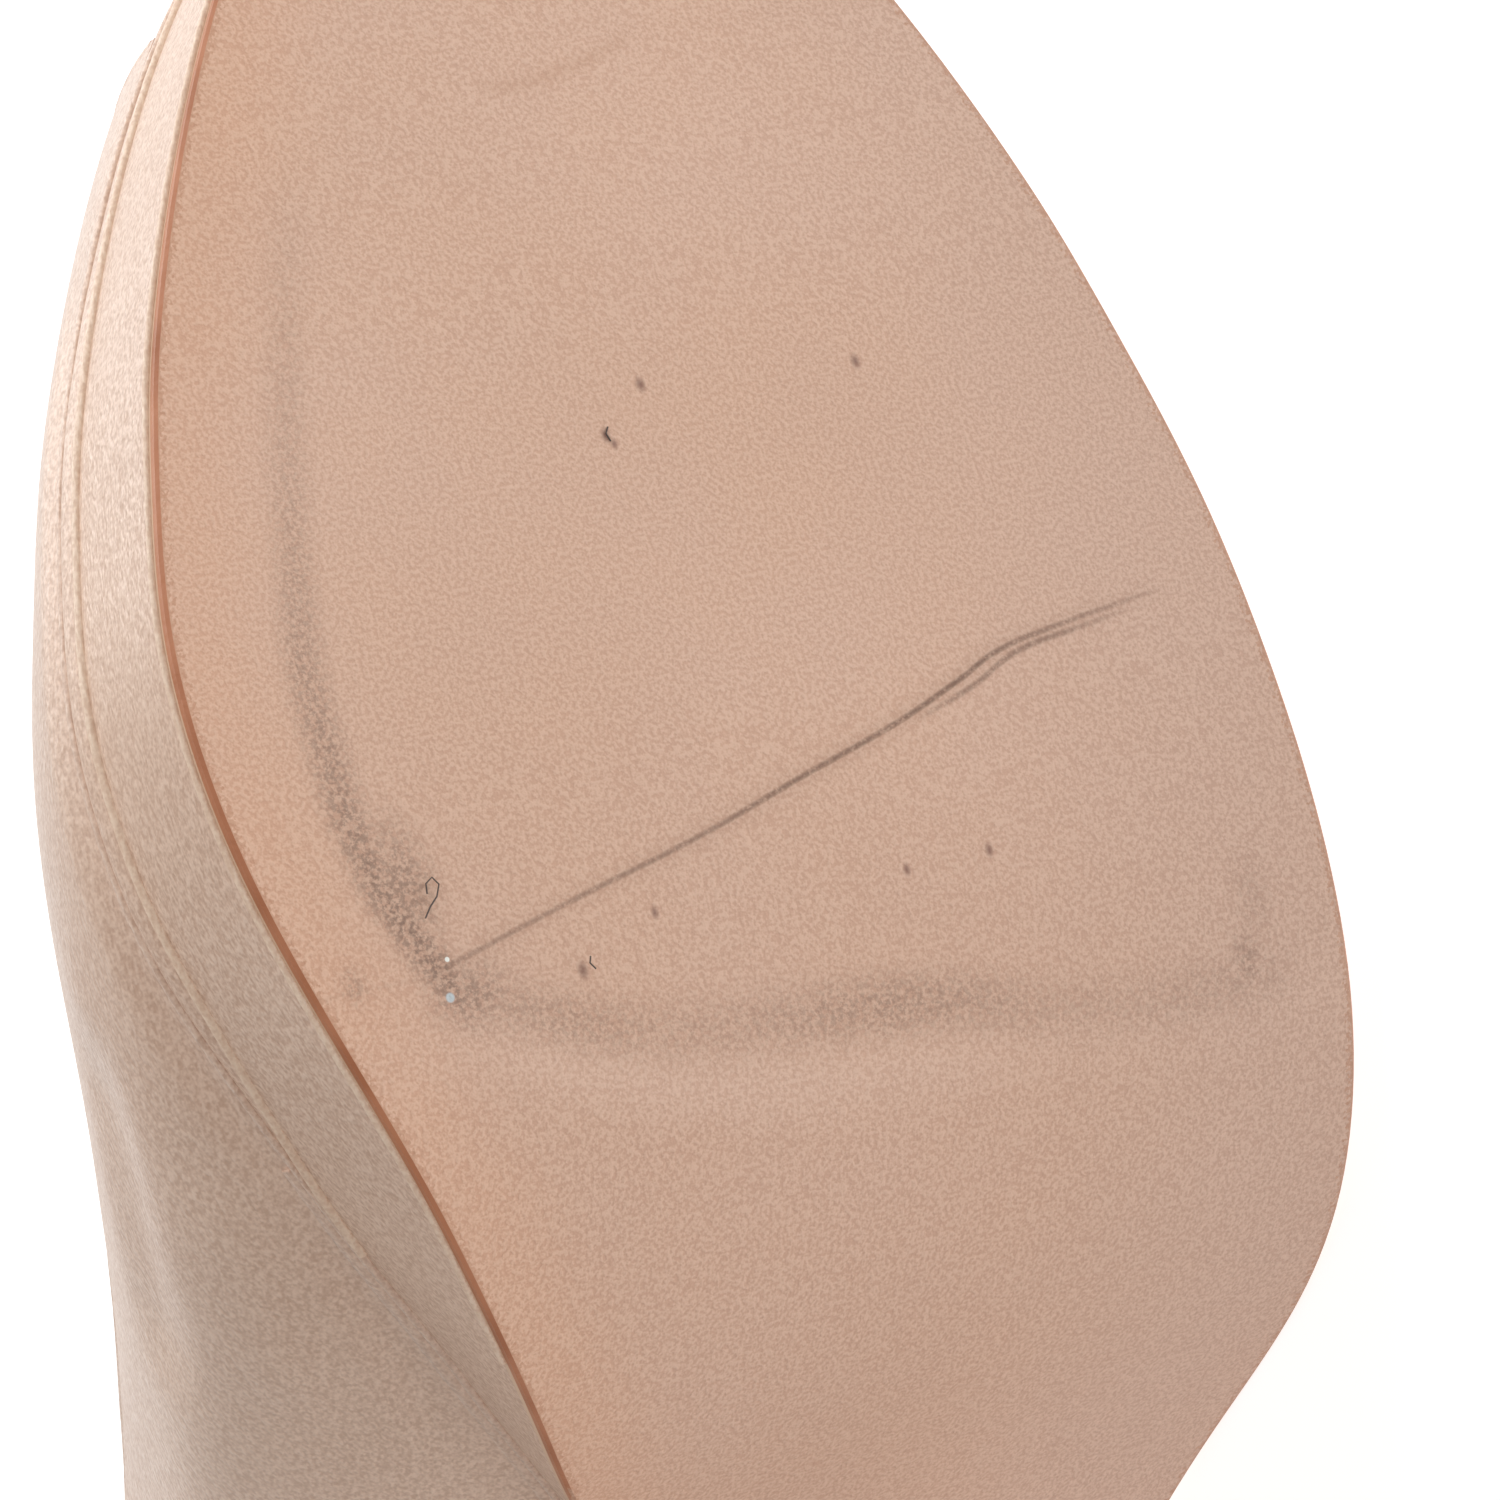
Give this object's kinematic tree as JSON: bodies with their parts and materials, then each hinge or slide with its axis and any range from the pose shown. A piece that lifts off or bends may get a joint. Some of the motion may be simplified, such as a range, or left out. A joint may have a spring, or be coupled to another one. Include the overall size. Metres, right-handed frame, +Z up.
{
  "type": "peep toe pump",
  "caption": "Peep toe pump with a covered platform, a slim high heel and a leather sole, lying on its outer side.",
  "frame": {"origin": "centre of the footprint of the bounding box, on the floor that the shoe lies on", "axes": "+X from the heel towards the toe, +Y from the sole towards the collar (the tread faces -Y), +Z up, towards the shoe's inner side"},
  "size_m": [0.2136, 0.162, 0.0797],
  "materials": {
    "sole_leather": "matte",
    "cover_satin": "satin",
    "upper_satin": "satin",
    "sock_leather": "satin",
    "heel_satin": "satin",
    "lift_rubber": "matte"
  },
  "bodies": {
    "root": {"outsole": "sole_leather", "platform": "cover_satin", "upper": "upper_satin", "insole": "sock_leather", "heel": "heel_satin", "top_lift": "lift_rubber"}
  },
  "joints": []
}
